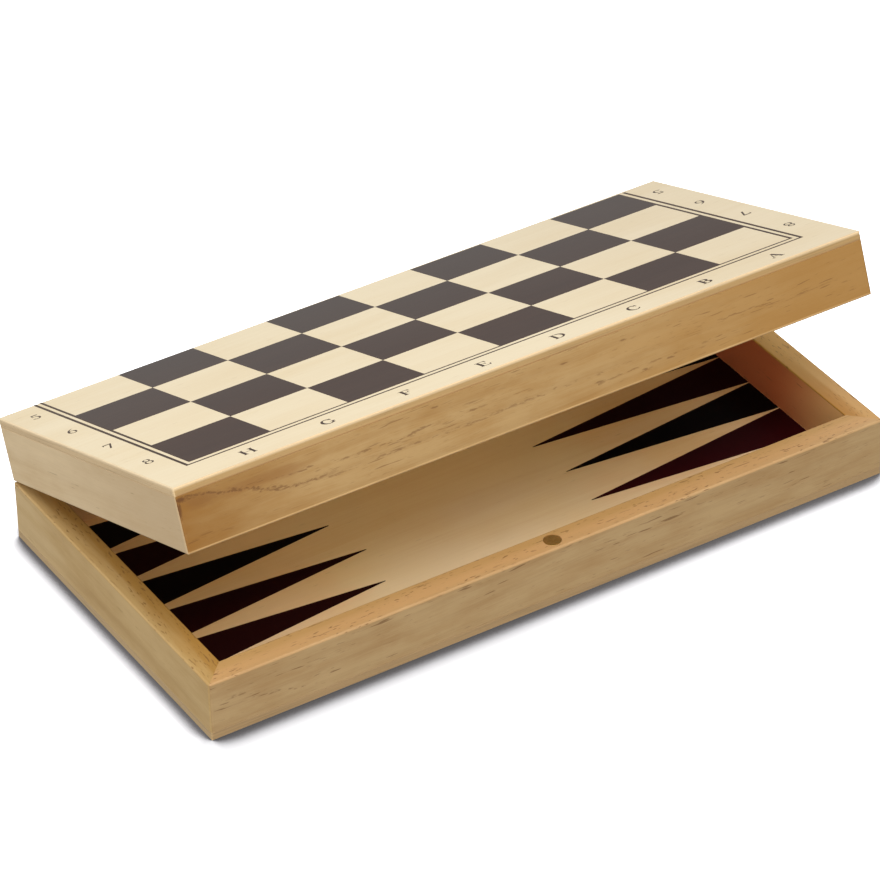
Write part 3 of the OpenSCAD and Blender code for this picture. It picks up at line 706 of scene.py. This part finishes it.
GLYPHS = {
    "A": (0.98, [bar(0.15, 0.02, 0.47, 0.99, 0.05), bar(0.46, 0.985, 0.81, 0.02, STEM), box_(0.24, 0.32, 0.68, 0.365), foot(0.14, 0, 0.13), foot(0.82, 0, 0.15)]),
    "B": (0.84, [stem(0.2), foot(0.14, 0, 0.12), foot(0.14, 1, 0.12), box_(0.1, 0.955, 0.42, 1.0), box_(0.2, 0.5, 0.45, 0.545), box_(0.1, 0.0, 0.45, 0.045)]
          + bow(0.40, 0.75, 0.32, 0.25, -90, 90) + bow(0.42, 0.2725, 0.38, 0.2725, -90, 90)),
    "C": (0.92, bow(0.5, 0.5, 0.44, 0.515, 38, 330, taper=(1, 0.6)) + [[(0.80, 0.98), (0.84, 0.98), (0.86, 0.67), (0.82, 0.67), (0.74, 0.88)]]),
    "D": (0.98, [stem(0.2), foot(0.14, 0, 0.12), foot(0.14, 1, 0.12), box_(0.1, 0.955, 0.48, 1.0), box_(0.1, 0.0, 0.48, 0.045)]
          + bow(0.44, 0.5, 0.48, 0.5, -90, 90)),
    "E": (0.86, [stem(0.2), foot(0.14, 0, 0.12), foot(0.14, 1, 0.12), box_(0.1, 0.955, 0.74, 1.0), box_(0.1, 0.0, 0.78, 0.045), box_(0.2, 0.49, 0.58, 0.535),
                 [(0.74, 1.0), (0.74, 0.76), (0.71, 0.76), (0.62, 0.955)], [(0.78, 0.0), (0.83, 0.27), (0.79, 0.27), (0.64, 0.045)], [(0.55, 0.64), (0.58, 0.64), (0.58, 0.39), (0.55, 0.39), (0.5, 0.51)]]),
    "F": (0.80, [stem(0.2), foot(0.2, 0, 0.17), foot(0.14, 1, 0.12), box_(0.1, 0.955, 0.74, 1.0), box_(0.2, 0.49, 0.56, 0.535),
                 [(0.74, 1.0), (0.74, 0.74), (0.71, 0.74), (0.60, 0.955)], [(0.53, 0.64), (0.56, 0.64), (0.56, 0.39), (0.53, 0.39), (0.48, 0.51)]]),
    "G": (1.0, bow(0.5, 0.5, 0.44, 0.515, 40, 318, taper=(1, 1)) + [[(0.80, 0.98), (0.84, 0.98), (0.86, 0.69), (0.82, 0.69), (0.74, 0.88)], box_(0.74, 0.07, 0.875, 0.42), foot(0.81, 0.38, 0.17)]),
    "H": (1.06, [stem(0.21), stem(0.85), box_(0.2, 0.485, 0.86, 0.53), foot(0.21, 0), foot(0.21, 1), foot(0.85, 0), foot(0.85, 1)]),
    "1": (0.62, [stem(0.34, 0, 0.99), foot(0.34, 0, 0.19), [(0.28, 0.99), (0.10, 0.88), (0.10, 0.84), (0.28, 0.90)]]),
    "2": (0.66, bow(0.31, 0.70, 0.27, 0.30, 165, -25, side=0.12, cap=0.06, taper=(0.7, 1)) + [bar(0.53, 0.60, 0.10, 0.07, 0.07), box_(0.04, 0.0, 0.56, 0.10), [(0.56, 0.0), (0.62, 0.22), (0.59, 0.22), (0.46, 0.08)]]),
    "3": (0.64, bow(0.28, 0.76, 0.25, 0.24, 150, -85, side=0.11, taper=(0.7, 1)) + bow(0.27, 0.28, 0.30, 0.285, 90, -150, side=0.13, taper=(1, 0.9))),
    "4": (0.68, [box_(0.38, 0.0, 0.50, 1.0), bar(0.45, 0.98, 0.06, 0.30, 0.06), box_(0.03, 0.26, 0.63, 0.33), foot(0.44, 0, 0.15)]),
    "5": (0.64, [[(0.16, 0.99), (0.55, 0.99), (0.58, 0.86), (0.16, 0.86)], bar(0.175, 0.98, 0.135, 0.52, 0.055)] + bow(0.27, 0.315, 0.31, 0.32, 118, -150, side=0.135, cap=0.06, taper=(0.7, 0.9))),
    "6": (0.68, bow(0.33, 0.31, 0.29, 0.31, 0, 360, side=0.125, cap=0.05) + bow(0.66, 0.33, 0.62, 0.67, 178, 100, side=0.14, cap=0.05, taper=(1, 0.5))),
    "7": (0.66, [box_(0.06, 0.87, 0.62, 0.99), bar(0.57, 0.92, 0.24, 0.0, 0.115), [(0.06, 0.99), (0.03, 0.72), (0.06, 0.72), (0.14, 0.89)]]),
    "8": (0.66, bow(0.33, 0.76, 0.24, 0.24, 0, 360, side=0.11, cap=0.045) + bow(0.33, 0.275, 0.29, 0.28, 0, 360, side=0.13, cap=0.05)),
}


def glyph(ch, x, v, height, flip=False, wide=1.0):
    """A glyph centred at (x, v) in layout millimetres."""
    w, polys = GLYPHS[ch]
    k = -1 if flip else 1
    return [[(x + k * (a - w / 2) * height * wide, v + k * (b - 0.5) * height) for a, b in poly] for poly in polys]


def skewed(x, d):
    """The whole print sits a hair out of square on its board."""
    return x + 0.0006 * (75 - d), d + 0.006 * x


def to_half(half, x, d):
    """From layout millimetres (x seen from the front of the lid, d from the
    fold) to the half's own frame."""
    x, d = skewed(x, d)
    return (-x if half == "lid" else x, 86.0 - d)


COLS = [-149.9 + 37.65 * i for i in range(9)]
ROWS = [1.2, 35.8, 73.0, 110.6, 146.9]
FILES = "HGFEDCBA"
FILE_X = [-130.8, -92.6, -54.2, -16.2, 21.4, 59.2, 96.6, 132.9]
RANK_D = [18.2, 54.8, 91.9, 129.0]


def chess_print(half, mat, fine):
    at = lambda x, d: to_half(half, x, d)
    squares = []
    g = 0.02
    for k in range(4):
        for i in range(8):
            if (i + k) % 2 == (1 if half == "lid" else 0):
                # the outermost squares run into the inner line
                x0, x1, d0, d1 = COLS[i] + g, COLS[i + 1] - g, ROWS[k] + g, ROWS[k + 1] - g
                x0, x1 = (-151.0 if i == 0 else x0), (150.9 if i == 7 else x1)
                d1 = 147.75 if k == 3 else d1
                squares.append([[at(x0, d0), at(x1, d0), at(x1, d1), at(x0, d1)]])
    def u_line(left, right, front, side_t, front_t):
        s, f = side_t / 2, front_t / 2
        a = [(left - s, ROWS[0]), (left - s, front + f), (right + s, front + f), (right + s, ROWS[0]),
             (right - s, ROWS[0]), (right - s, front - f), (left + s, front - f), (left + s, ROWS[0])]
        a = [at(*q) for q in a]
        return [[a[0], a[1], a[6], a[7]], [a[1], a[2], a[5], a[6]], [a[2], a[3], a[4], a[5]]]
    outer = u_line(-153.95, 154.0, 151.4, 1.35, 1.15)
    inner = u_line(-151.0, 150.9, 147.75, 1.25, 1.05)
    marks = []
    sign = -1 if half == "lid" else 1   # which way v runs for this half
    def text(ch, x, d, h, flip, wide=1.0):
        polys = glyph(ch, 0, 0, h, flip, wide)
        marks.append([[at(x + a, d + sign * b) for a, b in poly] for poly in polys])
    for i, ch in enumerate(FILES):
        text(ch, FILE_X[i], 162.0, 6.6, half != "lid")
    for k in range(4):
        ch = str(5 + k) if half == "lid" else str(4 - k)
        text(ch, -161.4, RANK_D[k], 6.4, False, 1.1)
        text(ch, 162.5, RANK_D[k], 6.4, True, 1.1)
    printed(half + "_dark_squares", half, squares, True, mat)
    printed(half + "_frame_lines", half, [outer, inner], True, fine, lift=0.045)
    printed(half + "_letters", half, marks, True, fine, lift=0.045)


POINT_Y = [-60.1, -36.1, -12.05, 12.0, 36.05, 60.1]


def points_print(half, black, maroon):
    """Six points at each short side, meeting the end walls."""
    dark, red = [], []
    # colours from the front to the hinge, as the lower tray shows them
    for side, first_black in ((-1, False), (1, True)):
        for k, y in enumerate(POINT_Y):
            is_black = (k % 2 == 0) == first_black
            if side < 0:
                length, w = (103.6 if is_black else 108.5), 11.35
            else:
                length, w = (107.2 if is_black else 109.6), 11.8
            tip = 160.0 - length
            s = side
            poly = [(s * 159.93, y - w), (s * 159.93, y + w), (s * (tip + 0.15), y + 0.22), (s * tip, y), (s * (tip + 0.15), y - 0.22)]
            if half == "lid":
                # the other half of the same board, turned over the fold
                poly = [(-a, b) for a, b in poly]
                is_black = not is_black
            (dark if is_black else red).append([poly])
    printed(half + "_black_points", half, dark, False, black, lift=0.04)
    printed(half + "_maroon_points", half, red, False, maroon, lift=0.04)


# painted sheen: the brown inks are painted greyer towards the fold (far); painted shade: the lower maroon is painted
# darker towards the fold and the lower black takes a wine tint over one band (across); the lid's copies carry neither
INK = ink("dark_brown_ink", 1.0, (54, 35, 23), (80, 57, 42), rough=0.46, show=0.4, far=(84, 79, 74))
FINE = ink("line_ink", 4.0, (50, 30, 13), (76, 51, 30), rough=0.46, show=0.4, far=(92, 76, 60))
BLACK = ink("black_ink", 2.0, (1, 0, 1), (7, 4, 5), rough=0.55, show=0.3, coat=0.0, spec=0.07, across=(-24.5, -26, (42, 8, 9), 0.7, -48.2))
MAROON = ink("maroon_ink", 3.0, (40, 2, 6), (66, 6, 13), rough=0.55, show=0.3, coat=0.0, spec=0.08, across=(-52, -6, (14, 1, 3), 0.75, -90.0))
BLACK_LID = ink("black_ink_lid", 5.0, (1, 0, 1), (7, 4, 5), rough=0.55, show=0.3, coat=0.0, spec=0.07)
MAROON_LID = ink("maroon_ink_lid", 6.0, (40, 2, 6), (66, 6, 13), rough=0.55, show=0.3, coat=0.0, spec=0.08)
for half in HALVES:
    chess_print(half, INK, FINE)
    points_print(half, *((BLACK, MAROON) if half == "lower" else (BLACK_LID, MAROON_LID)))


# ------------------------------------------------------------------ stage

def floor():
    bm = bmesh.new()
    bmesh.ops.create_grid(bm, x_segments=8, y_segments=8, size=9.0)
    me = bpy.data.meshes.new("floor")
    bm.to_mesh(me)
    bm.free()
    g = Look("floor_with_painted_contact_shadow")
    n = g.noise(g.add("ShaderNodeTexCoord").outputs["Object"], scale=0.7, detail=2)
    # painted shadow: the floor's colour darkens with ambient occlusion close to the box, drawing its contact shadow
    near = g.add("ShaderNodeAmbientOcclusion", samples=16)
    near.inputs["Distance"].default_value = 0.0150
    x, y, z = g.split(g.add("ShaderNodeTexCoord").outputs["Object"])
    # the painted shadow is narrower on the left
    dark = g.math("ADD", near.outputs["AO"], g.fit(x, -0.170, -0.173, 0, 0.060), clamp=True)
    shade = g.ramp(dark, [
        (0.50, (0.012, 0.011, 0.011)), (0.617, (0.019, 0.017, 0.018)), (0.666, (0.060, 0.058, 0.061)),
        (0.714, (0.112, 0.110, 0.114)), (0.759, (0.170, 0.169, 0.174)), (0.808, (0.217, 0.216, 0.222)),
        (0.856, (0.251, 0.250, 0.256)), (0.900, (0.269, 0.269, 0.273)), (0.947, (0.288, 0.288, 0.291)),
        (0.98, (0.304, 0.304, 0.306)), (1.0, (0.42, 0.42, 0.43))])
    shade = g.mix(g.fit(n, 0.3, 0.7, 0, 0.03), shade, lin(255, 255, 255))
    # the painted shadow is a little deeper along the front, least at its right
    deep = g.math("MULTIPLY", g.fit(y, -0.0855, -0.081, 1, 0), g.fit(x, -0.03, 0.172, 0.23, 0.0))
    g.put(g.bsdf.inputs["Base Color"], g.mix(deep, shade, (0, 0, 0, 1)))
    g.bsdf.inputs["Roughness"].default_value = 0.9
    g.bsdf.inputs["Specular IOR Level"].default_value = 0.0
    me.materials.append(g.mat)
    o = bpy.data.objects.new("floor", me)
    o.location = (0, 0, -0.00006)
    bpy.context.scene.collection.objects.link(o)
    return o


def area(name, at, to, size, watts, colour=(1, 1, 1)):
    d = bpy.data.lights.new(name, "AREA")
    d.shape = "RECTANGLE"
    d.size, d.size_y = size
    d.energy = watts
    d.color = colour
    o = bpy.data.objects.new(name, d)
    o.location = at
    o.rotation_mode = "QUATERNION"
    o.rotation_quaternion = (Vector(to) - Vector(at)).to_track_quat("-Z", "Y")
    bpy.context.scene.collection.objects.link(o)
    return o


scene = bpy.context.scene


def sun(name, toward, strength, angle, colour=(1, 1, 1)):
    d = bpy.data.lights.new(name, "SUN")
    d.energy = strength
    d.angle = math.radians(angle)
    d.color = colour
    o = bpy.data.objects.new(name, d)
    o.rotation_mode = "QUATERNION"
    o.rotation_quaternion = Vector(toward).to_track_quat("-Z", "Y")
    o.location = (0, 0, 1.5)
    bpy.context.scene.collection.objects.link(o)
    return o


def only(light, obj, included):
    """The light falls on this object alone, or on everything but it."""
    c = bpy.data.collections.new(light.name + "_on")
    c.objects.link(obj)
    light.light_linking.receiver_collection = c
    c.collection_objects[0].light_linking.link_state = "INCLUDE" if included else "EXCLUDE"


ground = floor()
ground.visible_diffuse = False
ground.visible_glossy = False
key = area("key", (-0.38, -0.80, 1.65), (0, -0.02, 0.05), (1.1, 0.9), 17.5, (1.0, 0.985, 0.96))
front = area("front", (-0.5, -2.1, 0.85), (0, 0, 0.05), (1.6, 0.7), 9.0, (1.0, 0.97, 0.93))
side = area("side", (-2.0, -0.3, 0.8), (0, 0, 0.05), (1.4, 0.8), 6.0, (1.0, 0.98, 0.95))
down_light = sun("table", (0.0, -0.01, -1.0), 12.5, 5.0)
for light in (key, front, side):
    only(light, ground, False)
only(down_light, ground, True)
# it lights the table evenly and casts no shadow; the contact shadow is painted by the table's own shading
down_light.light_linking.blocker_collection = down_light.light_linking.receiver_collection

world = bpy.data.worlds.new("studio")
world.use_nodes = True
wt = world.node_tree
back = wt.nodes["Background"]
tc = wt.nodes.new("ShaderNodeTexCoord")
sp = wt.nodes.new("ShaderNodeSeparateXYZ")
mr = wt.nodes.new("ShaderNodeMapRange")
rp = wt.nodes.new("ShaderNodeValToRGB")
wt.links.new(tc.outputs["Generated"], sp.inputs[0])
wt.links.new(sp.outputs[2], mr.inputs["Value"])
mr.inputs["From Min"].default_value = -1.0
mr.inputs["From Max"].default_value = 1.0
wt.links.new(mr.outputs[0], rp.inputs[0])
e = rp.color_ramp.elements
e[0].position, e[0].color = 0.30, (0.42, 0.42, 0.42, 1)
e[1].position, e[1].color = 1.0, (1.0, 1.0, 1.0, 1)
x = e.new(0.5)
x.color = (0.42, 0.425, 0.44, 1)
x = e.new(0.62)
x.color = (0.48, 0.485, 0.50, 1)
wt.links.new(rp.outputs[0], back.inputs[0])
back.inputs[1].default_value = 1.0
# past the table's horizon the backdrop is as white as the table
paper = wt.nodes.new("ShaderNodeBackground")
paper.inputs[0].default_value = (1.0, 1.0, 1.0, 1)
seen = wt.nodes.new("ShaderNodeLightPath")
pick = wt.nodes.new("ShaderNodeMixShader")
wt.links.new(seen.outputs["Is Camera Ray"], pick.inputs[0])
wt.links.new(back.outputs[0], pick.inputs[1])
wt.links.new(paper.outputs[0], pick.inputs[2])
wt.links.new(pick.outputs[0], wt.nodes["World Output"].inputs["Surface"])
scene.world = world
scene.view_settings.view_transform = "Standard"
scene.view_settings.look = "None"
scene.view_settings.exposure = 0.0
scene.view_settings.gamma = 1.0
scene.cycles.use_denoising = True

cam = bpy.data.objects.new("camera", bpy.data.cameras.new("camera"))
right = Vector((0.8485505, -0.52869821, -0.02098225))
down = Vector((-0.32267369, -0.48564271, -0.81242406))
ahead = Vector((0.41933727, 0.69615326, -0.58268937))
m = Matrix.Identity(4)
for r in range(3):
    m[r][0], m[r][1], m[r][2] = right[r], -down[r], -ahead[r]
m.translation = (-0.950170, -1.568673, 1.350222)
cam.matrix_world = m
cam.data.sensor_width = 36.0
cam.data.lens = 210.03
cam.data.clip_start, cam.data.clip_end = 0.05, 60.0
cam.data.dof.use_dof = False
scene.collection.objects.link(cam)
scene.camera = cam
